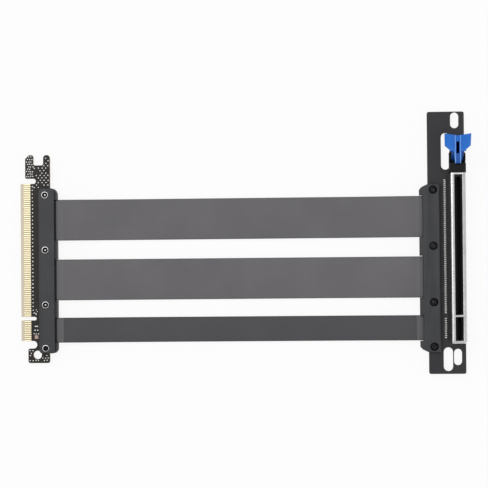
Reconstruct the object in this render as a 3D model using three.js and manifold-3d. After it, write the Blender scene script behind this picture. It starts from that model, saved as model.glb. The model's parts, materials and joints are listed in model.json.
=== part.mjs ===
// Riser cable for a graphics card: an edge board with a contact tongue, three ribbons between two
// clamp housings, and a socket board with a shielded card socket and a pivoting latch.
// Millimetres. X runs along the ribbons, Y along the contact rows, Z up from the surface.
import * as THREE from 'three';
import { mergeGeometries, mergeVertices } from 'three/addons/utils/BufferGeometryUtils.js';
import Module from 'manifold-3d';

const wasm = await Module();
wasm.setup();

// Contact rows, shared by the tongue and the socket
const contactPitch = 1.0;
const longGroupCount = 71;
const shortGroupCount = 11;
const keyStep = 3.0;
const keyY = -30.0;

// Boards
const boardThickness = 1.6;
const tongueMargin = 1.1;
const tongueBevelLength = 1.3;
const tongueBevelDepth = 0.45;
const keySlotWidth = 1.9;
const keySlotDepth = 8.25;
const fingerWidth = 0.7;
const fingerLength = 4.05;
const fingerRaise = 0.05;
const edgeBoardWidth = 15.9;

// Retention hook and foot at the ends of the edge board
const hookGap = 2.4;
const hookGapDepth = 8.6;
const hookLeft = 2.6;
const hookTop = 57.3;
const hookNotchLeft = 7.0;
const hookNotchRight = 12.3;
const hookNotchFloor = 51.8;
const hookCorner = 1.5;
const footGap = 3.2;
const footGapDepth = 8.9;
const footLeft = 4.4;
const footBottom = -53.7;
const footHoleX = 9.4;
const footHoleY = -49.7;
const footHoleRadius = 2.15;
const boardCorner = 1.0;

// Clamp housing, the same two halves at both ends
const housingDepth = 10.8;
const housingOverhang = 4.4;
const housingTop = 39.4;
const housingBottom = -49.2;
const housingEndSlope = 2.8;
const housingEndKneeX = 3.2;
const housingEndKneeDrop = 1.5;
const shellThickness = 3.0;
const shellChamfer = 0.4;
const seatGap = 0.05;
const partingGap = 0.04;
const windowDepth = 1.6;
const windowClearance = 0.25;
const boardEdgeGap = 0.3;

// Ribbons: middle and width of each, from the long end of the row to the short one
const ribbonMiddles = [22.5, -9.4, -36.5];
const ribbonWidths = [21.7, 21.7, 13.1];
const ribbonThickness = 2.4;
const ribbonEdge = 0.8;
const ribbonFreeLength = 191.9;
const ribbonLie = 0.06;

// Fall of a ribbon from its housing: distance from the board's edge, and share of the height left
const ribbonFall = [
  [7, 1.0],
  [13, 0.93],
  [20, 0.7],
  [28, 0.36],
  [37, 0.1],
  [48, 0.0],
  [64, 0.0],
  [82, 0.0],
];

// Clamp screws and their inserts
const screwRows = [36.4, 6.8, -22.8, -46.2];
const screwInset = 3.6;
const screwRadius = 0.95;
const screwHeadRadius = 2.05;
const screwHeadHeight = 1.5;
const screwHeadDome = 0.45;
const screwHeadSink = 0.15;
const screwRecessLength = 2.1;
const screwRecessWidth = 0.5;
const screwRecessDepth = 0.9;
const screwTipSink = 0.7;
const screwHoleClearance = 0.25;
const headClearance = 0.2;
const insertRadius = 1.75;
const insertBore = 1.12;
const insertLength = 2.6;
const insertLeadIn = 0.2;
const insertClearance = 0.05;
const roundSides = 12;
const arcSegments = 3;

// Socket board
const socketBoardWidth = 19.5;
const socketBoardTop = 77.6;
const socketBoardBottom = -60.7;
const socketBoardSlots = [
  { left: 12.3, right: 16.6, bottom: 68.8, top: 77.1 },
  { left: 7.3, right: 11.8, bottom: 47.0, top: 66.3 },
  { left: 7.7, right: 12.6, bottom: -59.2, top: -46.7 },
  { left: 13.1, right: 17.3, bottom: -56.1, top: -47.5 },
];

// Card socket: insulator, contacts and shield
const socketX = 15.6;
const socketY = 0.3;
const shieldLength = 89.4;
const shieldWidth = 7.8;
const shieldHeight = 11.25;
const shieldWall = 0.3;
const shieldClearance = 0.1;
const shieldRimSide = 1.8;
const shieldRimEnd = 1.1;
const shieldKeyBar = 0.9;
const cardSlotWidth = 1.75;
const cardSlotClearance = 0.15;
const cardSlotDepth = 7.9;
const keyBarClearance = 0.15;
const cavityWidth = 0.56;
const cavityReach = 1.82;
const contactWidth = 0.44;
const contactThickness = 0.34;
const contactTouch = 0.62;
const contactTouchHeight = 7.3;
const contactTipHeight = 9.9;
const contactTipReach = 1.25;

// Latch and the base that carries it, at the long end of the socket
const latchBaseWidth = 8.6;
const latchBaseLength = 5.0;
const latchBaseHeight = 8.0;
const latchNeckWidth = 6.4;
const latchNeckHeight = 7.4;
const latchPivotOut = 8.2;
const latchPivotHeight = 3.0;
const latchEarRadius = 2.6;
const latchEarThickness = 1.0;
const latchPegRadius = 1.0;
const latchPegClearance = 0.25;
const latchSideGap = 0.3;
const latchBossRadius = 2.0;
const latchSweepGap = 0.4;
const latchSpan = 13.9;
const latchStemWidth = 8.6;
const latchReach = 20.4;

const boardMiddle = shellThickness + seatGap + boardThickness / 2;
const socketBoardX = edgeBoardWidth + housingOverhang + ribbonFreeLength + housingOverhang;

const finishes = {
  mask: { color: 0x2b2724, roughness: 0.45, metalness: 0.0 },
  darkMask: { color: 0x2e2d2f, roughness: 0.55, metalness: 0.0 },
  housing: { color: 0x353536, roughness: 0.6, metalness: 0.0 },
  ribbon: { color: 0x4f4d50, roughness: 0.65, metalness: 0.0 },
  blackSteel: { color: 0x1c1c1e, roughness: 0.35, metalness: 0.8 },
  nickel: { color: 0x9a9a98, roughness: 0.35, metalness: 0.9 },
  insulator: { color: 0x151515, roughness: 0.5, metalness: 0.0 },
  steel: { color: 0xd6d6d4, roughness: 0.2, metalness: 1.0 },
  blue: { color: 0x1c5fc4, roughness: 0.4, metalness: 0.0 },
};

function solidOf(geometry) {
  geometry.deleteAttribute('normal');
  geometry.deleteAttribute('uv');
  const merged = mergeVertices(geometry, 1e-4);
  return new wasm.Manifold(new wasm.Mesh({
    numProp: 3,
    vertProperties: merged.attributes.position.array,
    triVerts: new Uint32Array(merged.index.array),
  }));
}

function meshOf(name, solid, finish) {
  const result = solid.getMesh();
  const geometry = new THREE.BufferGeometry();
  geometry.setAttribute('position', new THREE.BufferAttribute(result.vertProperties, 3));
  geometry.setIndex(new THREE.BufferAttribute(result.triVerts, 1));
  geometry.computeVertexNormals();
  const mesh = new THREE.Mesh(geometry, new THREE.MeshStandardMaterial(finish));
  mesh.name = name;
  return mesh;
}

function boxGeometry(x0, x1, y0, y1, z0, z1) {
  const geometry = new THREE.BoxGeometry(x1 - x0, y1 - y0, z1 - z0);
  return geometry.translate((x0 + x1) / 2, (y0 + y1) / 2, (z0 + z1) / 2);
}

function block(x0, x1, y0, y1, z0, z1) {
  return solidOf(boxGeometry(x0, x1, y0, y1, z0, z1));
}

// The points of an outline, without the repeats where a line runs into an arc
function outlinePoints(path) {
  const points = path.getPoints(arcSegments);
  return points.filter((point, i) => {
    const next = points[(i + 1) % points.length];
    return point.distanceTo(next) > 1e-3;
  });
}

function prism(shape, low, high) {
  const outline = new THREE.Shape(outlinePoints(shape));
  const geometry = new THREE.ExtrudeGeometry(outline, { depth: high - low, bevelEnabled: false });
  return solidOf(geometry.translate(0, 0, low));
}

// A profile drawn in Y and Z, drawn out along X
function prismAlongX(shape, x0, x1) {
  const outline = new THREE.Shape(outlinePoints(shape));
  const geometry = new THREE.ExtrudeGeometry(outline, { depth: x1 - x0, bevelEnabled: false });
  geometry.rotateY(Math.PI / 2).rotateX(Math.PI / 2);
  return solidOf(geometry.translate(x0, 0, 0));
}

function rod(x, y, low, high, radius) {
  const geometry = new THREE.CylinderGeometry(radius, radius, high - low, roundSides);
  return solidOf(geometry.rotateX(Math.PI / 2).translate(x, y, (low + high) / 2));
}

function rodAlongX(x0, x1, y, z, radius) {
  const geometry = new THREE.CylinderGeometry(radius, radius, x1 - x0, roundSides);
  return solidOf(geometry.rotateZ(Math.PI / 2).translate((x0 + x1) / 2, y, z));
}

function roundedRectangle(left, right, bottom, top, radius) {
  const shape = new THREE.Shape();
  shape.moveTo(left + radius, bottom);
  shape.absarc(right - radius, bottom + radius, radius, -Math.PI / 2, 0, false);
  shape.absarc(right - radius, top - radius, radius, 0, Math.PI / 2, false);
  shape.absarc(left + radius, top - radius, radius, Math.PI / 2, Math.PI, false);
  shape.absarc(left + radius, bottom + radius, radius, Math.PI, Math.PI * 1.5, false);
  return shape;
}

// Places of all contacts of one row, short group first
function contactPlaces() {
  const firstShort = keyY - keyStep / 2 - (shortGroupCount - 1) * contactPitch;
  const firstLong = keyY + keyStep / 2;
  const places = [];
  for (let i = 0; i < shortGroupCount; i += 1) places.push(firstShort + i * contactPitch);
  for (let i = 0; i < longGroupCount; i += 1) places.push(firstLong + i * contactPitch);
  return places;
}

const rowPlaces = contactPlaces();
const tongueBottom = rowPlaces[0] - tongueMargin;
const tongueTop = rowPlaces[rowPlaces.length - 1] + tongueMargin;

// Edge board

function edgeBoardShape() {
  const slotRadius = keySlotWidth / 2;
  const shape = new THREE.Shape();
  shape.moveTo(0, tongueBottom);
  shape.lineTo(0, keyY - slotRadius);
  shape.absarc(keySlotDepth - slotRadius, keyY, slotRadius, -Math.PI / 2, Math.PI / 2, false);
  shape.lineTo(0, keyY + slotRadius);
  shape.lineTo(0, tongueTop);
  const gapRadius = hookGap / 2;
  shape.absarc(hookGapDepth - gapRadius, tongueTop + gapRadius, gapRadius, -Math.PI / 2, Math.PI / 2, false);
  shape.lineTo(hookLeft + boardCorner / 2, tongueTop + hookGap);
  shape.lineTo(hookLeft, tongueTop + hookGap + boardCorner / 2);
  shape.lineTo(hookLeft, hookTop - hookCorner);
  shape.lineTo(hookLeft + hookCorner, hookTop);
  shape.lineTo(hookNotchLeft, hookTop);
  shape.absarc(hookNotchLeft + boardCorner, hookNotchFloor + boardCorner, boardCorner, Math.PI, Math.PI * 1.5, false);
  shape.absarc(hookNotchRight - boardCorner, hookNotchFloor + boardCorner, boardCorner, Math.PI * 1.5, Math.PI * 2, false);
  shape.lineTo(hookNotchRight, hookTop);
  shape.absarc(edgeBoardWidth - hookCorner, hookTop - hookCorner, hookCorner, Math.PI / 2, 0, true);
  shape.absarc(edgeBoardWidth - boardCorner, footBottom + boardCorner, boardCorner, 0, -Math.PI / 2, true);
  shape.absarc(footLeft + boardCorner, footBottom + boardCorner, boardCorner, -Math.PI / 2, -Math.PI, true);
  const footGapRadius = footGap / 2;
  shape.lineTo(footLeft, tongueBottom - footGap);
  shape.absarc(footGapDepth - footGapRadius, tongueBottom - footGapRadius, footGapRadius, -Math.PI / 2, Math.PI / 2, false);
  return shape;
}

// The lead-in bevel along the tongue, on the upper (side 1) or lower (side -1) face
function tongueBevel(side) {
  const half = boardThickness / 2;
  const shape = new THREE.Shape();
  shape.moveTo(-1, side * (half - tongueBevelDepth - tongueBevelDepth / tongueBevelLength));
  shape.lineTo(tongueBevelLength, side * half);
  shape.lineTo(tongueBevelLength, side * (half + 1));
  shape.lineTo(-1, side * (half + 1));
  const geometry = new THREE.ExtrudeGeometry(shape, { depth: tongueTop - tongueBottom + 1, bevelEnabled: false });
  geometry.rotateX(Math.PI / 2).translate(0, tongueTop + 0.5, 0);
  return solidOf(geometry);
}

function fingers(side) {
  const inner = side * (boardThickness / 2 - 0.2);
  const outer = side * (boardThickness / 2 + fingerRaise);
  const pads = rowPlaces.map((y) => boxGeometry(
    tongueBevelLength,
    tongueBevelLength + fingerLength,
    y - fingerWidth / 2,
    y + fingerWidth / 2,
    Math.min(inner, outer),
    Math.max(inner, outer),
  ));
  return solidOf(mergeGeometries(pads));
}

function screwHoles(x) {
  const radius = screwRadius + screwHoleClearance;
  const reach = boardThickness;
  return screwRows.map((y) => rod(x, y, -reach, reach, radius));
}

function edgeBoard() {
  let solid = prism(edgeBoardShape(), -boardThickness / 2, boardThickness / 2);
  for (const side of [1, -1]) {
    solid = solid.subtract(tongueBevel(side));
    solid = solid.add(fingers(side));
  }
  for (const hole of screwHoles(edgeBoardWidth - screwBack)) solid = solid.subtract(hole);
  solid = solid.subtract(rod(footHoleX, footHoleY, -boardThickness, boardThickness, footHoleRadius));
  return meshOf('edge_board', solid, finishes.mask);
}

// Clamp housing. Its own frame: X = 0 at the board's edge, the board at X < 0, the ribbons leaving
// towards +X, Z = 0 at the middle of the board, the inserts on top and the screw heads below.

const screwBack = housingDepth - housingOverhang - screwInset;
const shellInner = boardThickness / 2 + seatGap;
const shellOuter = shellInner + shellThickness;

function housingOutline() {
  const back = housingOverhang - housingDepth;
  const shape = new THREE.Shape();
  shape.moveTo(back, housingBottom);
  shape.lineTo(0, housingBottom);
  shape.lineTo(housingEndKneeX, housingBottom + housingEndKneeDrop);
  shape.lineTo(housingOverhang, housingBottom + housingEndSlope);
  for (let i = ribbonMiddles.length - 1; i >= 0; i -= 1) {
    const half = ribbonWidths[i] / 2 + windowClearance;
    shape.lineTo(housingOverhang, ribbonMiddles[i] - half);
    shape.lineTo(housingOverhang - windowDepth, ribbonMiddles[i] - half);
    shape.lineTo(housingOverhang - windowDepth, ribbonMiddles[i] + half);
    shape.lineTo(housingOverhang, ribbonMiddles[i] + half);
  }
  shape.lineTo(housingOverhang, housingTop - housingEndSlope);
  shape.lineTo(housingEndKneeX, housingTop - housingEndKneeDrop);
  shape.lineTo(0, housingTop);
  shape.lineTo(back, housingTop);
  return shape;
}

// A block across the whole housing between two heights on one side of the board
function housingSlice(x0, x1, side, near, far) {
  const low = Math.min(side * near, side * far);
  const high = Math.max(side * near, side * far);
  return block(x0, x1, housingBottom - 1, housingTop + 1, low, high);
}

// One half of the housing, above (side 1) or below (side -1) the board
function shellSolid(side, seats) {
  const depth = shellOuter * 2 - shellChamfer * 2;
  const geometry = new THREE.ExtrudeGeometry(housingOutline(), {
    depth,
    bevelEnabled: true,
    bevelThickness: shellChamfer,
    bevelSize: shellChamfer,
    bevelOffset: -shellChamfer,
    bevelSegments: 1,
  });
  let solid = solidOf(geometry.translate(0, 0, -depth / 2));
  solid = solid.subtract(housingSlice(-housingDepth, housingOverhang + 1, side, -shellOuter - 1, partingGap / 2));
  solid = solid.subtract(housingSlice(-housingDepth, boardEdgeGap, side, 0, shellInner));
  const pocket = ribbonThickness / 2 + windowClearance;
  for (let i = 0; i < ribbonMiddles.length; i += 1) {
    const half = ribbonWidths[i] / 2 + windowClearance;
    const low = ribbonMiddles[i] - half;
    solid = solid.subtract(block(0, housingOverhang + 1, low, low + half * 2, -pocket, pocket));
  }
  for (const seat of seats) solid = solid.subtract(seat);
  return solid;
}

function screwSeats(y) {
  const floor = -shellOuter + screwHeadSink + screwHeadHeight;
  return [
    rod(-screwBack, y, -shellOuter - 1, floor, screwHeadRadius + headClearance),
    rod(-screwBack, y, floor - 0.5, 0, screwRadius + screwHoleClearance),
  ];
}

function insertSeats(y) {
  return [
    rod(-screwBack, y, shellOuter - insertLength - seatGap, shellOuter + 1, insertRadius + insertClearance),
    rod(-screwBack, y, 0, shellOuter, screwRadius + screwHoleClearance),
  ];
}

function screwMesh(name, y) {
  const headTop = shellOuter - screwHeadSink;
  const headSeat = headTop - screwHeadHeight;
  const tip = -shellOuter + screwTipSink;
  const profile = [
    [0, tip],
    [screwRadius, tip],
    [screwRadius, headSeat],
    [screwHeadRadius, headSeat],
    [screwHeadRadius, headTop - screwHeadDome],
    [screwHeadRadius - screwHeadDome, headTop],
    [0, headTop],
  ];
  const points = profile.map(([radius, height]) => new THREE.Vector2(radius, height));
  const turned = new THREE.LatheGeometry(points, roundSides).rotateX(Math.PI / 2);
  let solid = solidOf(turned);
  const half = screwRecessLength / 2;
  const wide = screwRecessWidth / 2;
  solid = solid.subtract(block(-half, half, -wide, wide, headTop - screwRecessDepth, headTop + 1));
  solid = solid.subtract(block(-wide, wide, -half, half, headTop - screwRecessDepth, headTop + 1));
  const mesh = meshOf(name, solid, finishes.blackSteel);
  mesh.rotation.x = Math.PI;
  mesh.position.set(-screwBack, y, 0);
  return mesh;
}

function insertMesh(name, y) {
  const low = shellOuter - insertLength;
  const profile = [
    [insertBore, low],
    [insertRadius - insertLeadIn, low],
    [insertRadius, low + insertLeadIn * 2],
    [insertRadius, shellOuter],
    [insertBore, shellOuter],
    [insertBore, low],
  ];
  const points = profile.map(([radius, height]) => new THREE.Vector2(radius, height));
  const turned = new THREE.LatheGeometry(points, roundSides).rotateX(Math.PI / 2);
  const mesh = meshOf(name, solidOf(turned), finishes.nickel);
  mesh.position.set(-screwBack, y, 0);
  return mesh;
}

function clampHousing(end, insertSide, headSide) {
  const group = new THREE.Group();
  const insertShell = shellSolid(1, screwRows.flatMap(insertSeats));
  const headShell = shellSolid(-1, screwRows.flatMap(screwSeats));
  group.add(meshOf(`${end}_${insertSide}_shell`, insertShell, finishes.housing));
  group.add(meshOf(`${end}_${headSide}_shell`, headShell, finishes.housing));
  screwRows.forEach((y, i) => group.add(screwMesh(`${end}_screw_${i + 1}`, y)));
  screwRows.forEach((y, i) => group.add(insertMesh(`${end}_insert_${i + 1}`, y)));
  return group;
}

// Ribbons

function ribbonSection(width) {
  const x = width / 2;
  const y = ribbonThickness / 2;
  const shape = new THREE.Shape();
  shape.moveTo(-x, ribbonEdge - y);
  shape.lineTo(ribbonEdge - x, -y);
  shape.lineTo(x - ribbonEdge, -y);
  shape.lineTo(x, ribbonEdge - y);
  shape.lineTo(x, y - ribbonEdge);
  shape.lineTo(x - ribbonEdge, y);
  shape.lineTo(ribbonEdge - x, y);
  shape.lineTo(-x, y - ribbonEdge);
  return shape;
}

// The route is drawn flat, with the height as Y, and then stood up and moved to its place in the row
function ribbonMesh(name, middle, width) {
  const low = ribbonThickness / 2 + ribbonLie;
  const start = edgeBoardWidth + boardEdgeGap;
  const end = socketBoardX - boardEdgeGap;
  const fall = [[0, 1.0], ...ribbonFall].map(([away, share]) => [away, low + (boardMiddle - low) * share]);
  const points = fall.map(([away, height]) => new THREE.Vector3(start + away, height, 0));
  for (const [away, height] of fall.reverse()) points.push(new THREE.Vector3(end - away, height, 0));
  const geometry = new THREE.ExtrudeGeometry(ribbonSection(width), {
    steps: 22,
    bevelEnabled: false,
    extrudePath: new THREE.CatmullRomCurve3(points),
  });
  geometry.rotateX(Math.PI / 2).translate(0, middle, 0);
  return meshOf(name, solidOf(geometry), finishes.ribbon);
}

// Socket board. Its own frame: X = 0 at the edge that meets the ribbons, Z = 0 in the middle.

function socketBoard() {
  const shape = roundedRectangle(0, socketBoardWidth, socketBoardBottom, socketBoardTop, boardCorner);
  let solid = prism(shape, -boardThickness / 2, boardThickness / 2);
  for (const slot of socketBoardSlots) {
    const radius = (slot.right - slot.left) / 2;
    const outline = roundedRectangle(slot.left, slot.right, slot.bottom, slot.top, radius);
    solid = solid.subtract(prism(outline, -boardThickness, boardThickness));
  }
  for (const hole of screwHoles(screwBack)) solid = solid.subtract(hole);
  return meshOf('socket_board', solid, finishes.darkMask);
}

// Card socket. Its own frame: X = 0 in the middle of the card slot, Y as the contact rows,
// Z = 0 on the board.

const shieldTop = socketY + shieldLength / 2;
const shieldBottom = socketY - shieldLength / 2;
const insulatorInset = shieldWall + shieldClearance;
const insulatorHeight = shieldHeight - insulatorInset;
const cardSlotFloor = insulatorHeight - cardSlotDepth;

// The spans of the two card slots, on either side of the key bar
function cardSlotSpans(endClearance, keyHalf) {
  return [
    [tongueBottom - endClearance, keyY - keyHalf],
    [keyY + keyHalf, tongueTop + endClearance],
  ];
}

function contactCavities() {
  const cuts = rowPlaces.map((y) => boxGeometry(
    -cavityReach,
    cavityReach,
    y - cavityWidth / 2,
    y + cavityWidth / 2,
    cardSlotFloor,
    insulatorHeight + 1,
  ));
  return solidOf(mergeGeometries(cuts));
}

// The bowed leaf of a contact: it rises by the wall, leans into the slot and turns back at its tip
function contactLeaf(side) {
  const root = cavityReach - contactThickness;
  const shape = new THREE.Shape();
  shape.moveTo(side * root, cardSlotFloor - 0.2);
  shape.lineTo(side * cavityReach, cardSlotFloor - 0.2);
  shape.lineTo(side * contactTipReach, contactTipHeight);
  shape.lineTo(side * contactTouch, contactTouchHeight);
  return shape;
}

function contactRow(side) {
  const leaves = rowPlaces.map((y) => {
    const geometry = new THREE.ExtrudeGeometry(contactLeaf(side), { depth: contactWidth, bevelEnabled: false });
    return geometry.rotateX(Math.PI / 2).translate(0, y + contactWidth / 2, 0);
  });
  return solidOf(mergeGeometries(leaves));
}

function latchBase() {
  const outer = latchBaseWidth / 2;
  const neck = latchNeckWidth / 2;
  const start = shieldTop + seatGap;
  const pivotY = shieldTop + latchPivotOut;
  let solid = block(-outer, outer, start, shieldTop + latchBaseLength, 0, latchBaseHeight);
  solid = solid.add(block(-neck, neck, shieldTop - 2, start + 1, 0, latchNeckHeight));
  for (const side of [1, -1]) {
    const x0 = Math.min(side * outer, side * (outer - latchEarThickness));
    const x1 = x0 + latchEarThickness;
    const foot = block(x0, x1, shieldTop + latchBaseLength - 1, pivotY + latchEarRadius, 0, latchPivotHeight);
    solid = solid.add(foot);
    solid = solid.add(rodAlongX(x0, x1, pivotY, latchPivotHeight, latchEarRadius));
  }
  return solid.subtract(rodAlongX(-outer - 1, outer + 1, pivotY, latchPivotHeight, latchPegRadius + latchPegClearance));
}

function socketBody() {
  const half = shieldWidth / 2 - insulatorInset;
  let solid = block(-half, half, shieldBottom + insulatorInset, shieldTop - insulatorInset, 0, insulatorHeight);
  const keyHalf = keySlotWidth / 2 - keyBarClearance;
  for (const [low, high] of cardSlotSpans(cardSlotClearance, keyHalf)) {
    const slotHalf = cardSlotWidth / 2;
    solid = solid.subtract(block(-slotHalf, slotHalf, low, high, cardSlotFloor, insulatorHeight + 1));
  }
  solid = solid.subtract(contactCavities());
  for (const side of [1, -1]) solid = solid.add(contactRow(side));
  solid = solid.add(latchBase());
  return meshOf('socket_body', solid, finishes.insulator);
}

function socketShield() {
  const half = shieldWidth / 2;
  const inner = half - shieldWall;
  const roof = shieldHeight - shieldWall;
  const rim = half - shieldRimSide;
  let solid = block(-half, half, shieldBottom, shieldTop, 0, shieldHeight);
  solid = solid.subtract(block(-inner, inner, shieldBottom + shieldWall, shieldTop - shieldWall, -1, roof));
  const openings = [
    [shieldBottom + shieldRimEnd, keyY - shieldKeyBar / 2],
    [keyY + shieldKeyBar / 2, shieldTop - shieldRimEnd],
  ];
  for (const [low, high] of openings) {
    solid = solid.subtract(block(-rim, rim, low, high, roof - 1, shieldHeight + 1));
  }
  const neck = latchNeckWidth / 2 + shieldClearance;
  const neckTop = latchNeckHeight + shieldClearance;
  solid = solid.subtract(block(-neck, neck, shieldTop - 1, shieldTop + 1, -1, neckTop));
  return meshOf('socket_shield', solid, finishes.steel);
}

// Latch. Its own frame: the pivot axis is X, Y points away from the socket, Z up.

// Side view, from the nose over the thumb rest to the tip and back round the boss
function latchProfile() {
  const nose = latchBaseLength + latchSideGap - latchPivotOut;
  const tip = latchReach - latchPivotOut;
  const shape = new THREE.Shape();
  shape.moveTo(nose, 6.6);
  shape.lineTo(nose, 8.2);
  shape.quadraticCurveTo(nose + 0.1, 9.2, nose + 1.2, 9.2);
  shape.lineTo(1.8, 8.4);
  shape.quadraticCurveTo(7.0, 7.6, tip, 10.6);
  shape.lineTo(tip, 9.0);
  shape.quadraticCurveTo(7.0, 5.6, 3.2, 5.6);
  shape.quadraticCurveTo(1.9, 5.2, latchBossRadius, 0);
  shape.absarc(0, 0, latchBossRadius, 0, -Math.PI, true);
  shape.lineTo(-1.7, 3.4);
  return shape;
}

// Top view: stem, then wings that spread to raised tips with a shallow hollow between them
function latchPlan() {
  const nose = latchBaseLength + latchSideGap - latchPivotOut;
  const tip = latchReach - latchPivotOut;
  const stem = latchStemWidth / 2;
  const wing = latchSpan / 2;
  const shape = new THREE.Shape();
  shape.moveTo(-1.7, nose);
  shape.lineTo(1.7, nose);
  shape.lineTo(1.7, nose + 1);
  shape.lineTo(stem, nose + 1);
  shape.lineTo(stem, 4.4);
  shape.lineTo(wing - 0.2, 6.0);
  shape.lineTo(wing, tip);
  shape.quadraticCurveTo(0, tip - 2, -wing, tip);
  shape.lineTo(0.2 - wing, 6.0);
  shape.lineTo(-stem, 4.4);
  shape.lineTo(-stem, nose + 1);
  shape.lineTo(-1.7, nose + 1);
  return shape;
}

function latchMesh() {
  const core = latchBaseWidth / 2 - latchEarThickness - latchSideGap;
  const clearRadius = latchEarRadius + latchSweepGap;
  let wide = prismAlongX(latchProfile(), -latchSpan, latchSpan);
  wide = wide.intersect(prism(latchPlan(), -10, 20));
  wide = wide.subtract(rodAlongX(-latchSpan, latchSpan, 0, 0, clearRadius));
  let solid = prismAlongX(latchProfile(), -core, core);
  solid = solid.intersect(block(-core, core, -10, 5, -10, 6.4));
  solid = solid.add(wide);
  const peg = core + latchSideGap + latchEarThickness;
  solid = solid.add(rodAlongX(-peg, peg, 0, 0, latchPegRadius));
  const mesh = meshOf('latch', solid, finishes.blue);
  mesh.position.set(0, shieldTop + latchPivotOut, latchPivotHeight);
  return mesh;
}

function edgeEnd() {
  const group = new THREE.Group();
  group.add(edgeBoard());
  const housing = clampHousing('edge', 'upper', 'lower');
  housing.position.x = edgeBoardWidth;
  group.add(housing);
  group.position.z = boardMiddle;
  return group;
}

function socketEnd() {
  const group = new THREE.Group();
  group.add(socketBoard());
  const housing = clampHousing('socket', 'lower', 'upper');
  housing.rotation.y = Math.PI;
  group.add(housing);
  const socket = new THREE.Group();
  socket.add(socketBody());
  socket.add(socketShield());
  socket.add(latchMesh());
  socket.position.set(socketX, 0, boardThickness / 2);
  group.add(socket);
  group.position.set(socketBoardX, 0, boardMiddle);
  return group;
}

const riser = new THREE.Group();
riser.add(edgeEnd());
ribbonMiddles.forEach((middle, i) => riser.add(ribbonMesh(`ribbon_${i + 1}`, middle, ribbonWidths[i])));
riser.add(socketEnd());

// The origin is under the middle of the whole part
riser.updateMatrixWorld(true);
const bounds = new THREE.Box3().setFromObject(riser);
riser.position.set(-(bounds.min.x + bounds.max.x) / 2, -(bounds.min.y + bounds.max.y) / 2, -bounds.min.z);

export default riser;
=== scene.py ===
import json
import math
import random

import bmesh
import bpy
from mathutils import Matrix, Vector

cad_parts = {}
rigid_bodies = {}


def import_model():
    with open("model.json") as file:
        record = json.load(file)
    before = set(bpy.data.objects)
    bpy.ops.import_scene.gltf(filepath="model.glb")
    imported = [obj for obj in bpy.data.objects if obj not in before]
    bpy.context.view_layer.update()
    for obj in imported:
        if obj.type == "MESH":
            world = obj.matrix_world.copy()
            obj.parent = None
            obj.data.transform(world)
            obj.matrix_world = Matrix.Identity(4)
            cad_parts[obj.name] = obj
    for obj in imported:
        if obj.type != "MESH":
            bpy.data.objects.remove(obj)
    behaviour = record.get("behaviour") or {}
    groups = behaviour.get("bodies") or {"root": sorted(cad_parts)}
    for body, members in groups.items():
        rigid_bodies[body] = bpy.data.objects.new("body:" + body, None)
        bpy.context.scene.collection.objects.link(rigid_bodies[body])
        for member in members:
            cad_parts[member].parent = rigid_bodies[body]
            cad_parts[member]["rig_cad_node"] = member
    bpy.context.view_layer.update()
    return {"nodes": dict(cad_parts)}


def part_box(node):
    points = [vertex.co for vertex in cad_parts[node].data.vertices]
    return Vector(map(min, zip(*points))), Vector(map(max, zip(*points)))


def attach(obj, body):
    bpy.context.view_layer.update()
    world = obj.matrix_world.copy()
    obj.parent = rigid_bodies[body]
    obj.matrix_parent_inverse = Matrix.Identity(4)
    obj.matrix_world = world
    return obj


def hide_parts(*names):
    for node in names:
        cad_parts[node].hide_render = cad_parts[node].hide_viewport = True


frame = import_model()
cadNodes = frame["nodes"]
mm = 0.001
print("frame loaded:", len(cadNodes), "nodes")

# The source file's own frame: X from the tongue's edge, Y from the middle of the contact rows
base = {
    "x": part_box("edge_board")[0].x / mm,
    "y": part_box("socket_board")[1].y / mm - 77.6,
}
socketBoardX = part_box("socket_board")[0].x / mm - base["x"]
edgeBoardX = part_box("edge_board")[1].x / mm - base["x"]
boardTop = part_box("socket_board")[1].z / mm


def at(x, y, z):
    return Vector(((base["x"] + x) * mm, (base["y"] + y) * mm, z * mm))


# Camera
camera = {
    "location": (57.3, -15.11, 1001.7),  # mm
    "turn": (0.856, 3.306, -0.498),  # degrees
    "lens": 138.9,
    "sensor": 36,
}


def makeCamera():
    data = bpy.data.cameras.new("photoCamera")
    data.lens = camera["lens"]
    data.sensor_width = camera["sensor"]
    data.clip_start = 0.01
    data.clip_end = 20
    seen = bpy.data.objects.new("photoCamera", data)
    bpy.context.scene.collection.objects.link(seen)
    seen.location = [value * mm for value in camera["location"]]
    seen.rotation_euler = [math.radians(value) for value in camera["turn"]]
    bpy.context.scene.camera = seen


makeCamera()
print("camera ready")


# Small tools for modelling
def deselectAll():
    bpy.ops.object.select_all(action="DESELECT")


def pick(obj):
    deselectAll()
    obj.select_set(True)
    bpy.context.view_layer.objects.active = obj
    return obj


def named(obj, name):
    obj.name = name
    obj.data.name = name
    return obj


def added(name):
    # the primitive that was just added, under its own name
    return named(bpy.context.object, name)


def edit(obj, mode="FACE"):
    pick(obj)
    bpy.ops.object.mode_set(mode="EDIT")
    bpy.ops.mesh.select_mode(type=mode)
    bpy.ops.mesh.select_all(action="DESELECT")


def done():
    bpy.ops.object.mode_set(mode="OBJECT")


def choose(obj, kind, test):
    mesh = bmesh.from_edit_mesh(obj.data)
    for item in getattr(mesh, kind):
        item.select = bool(test(item))
    if kind != "verts":
        mesh.select_flush_mode()
    bmesh.update_edit_mesh(obj.data)


def settle(obj):
    # place, turn and size go into the mesh
    pick(obj)
    bpy.ops.object.transform_apply(location=True, rotation=True, scale=True)
    return obj


def smooth(obj, degrees=35):
    pick(obj)
    bpy.ops.object.shade_smooth_by_angle(angle=math.radians(degrees))
    return obj


def rounded(obj, width, segments=3, degrees=30):
    pick(obj)
    bevel = obj.modifiers.new("rounding", "BEVEL")
    bevel.width = width * mm
    bevel.segments = segments
    bevel.limit_method = "ANGLE"
    bevel.angle_limit = math.radians(degrees)
    bevel.use_clamp_overlap = True
    bpy.ops.object.modifier_apply(modifier="rounding")
    return obj


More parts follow.
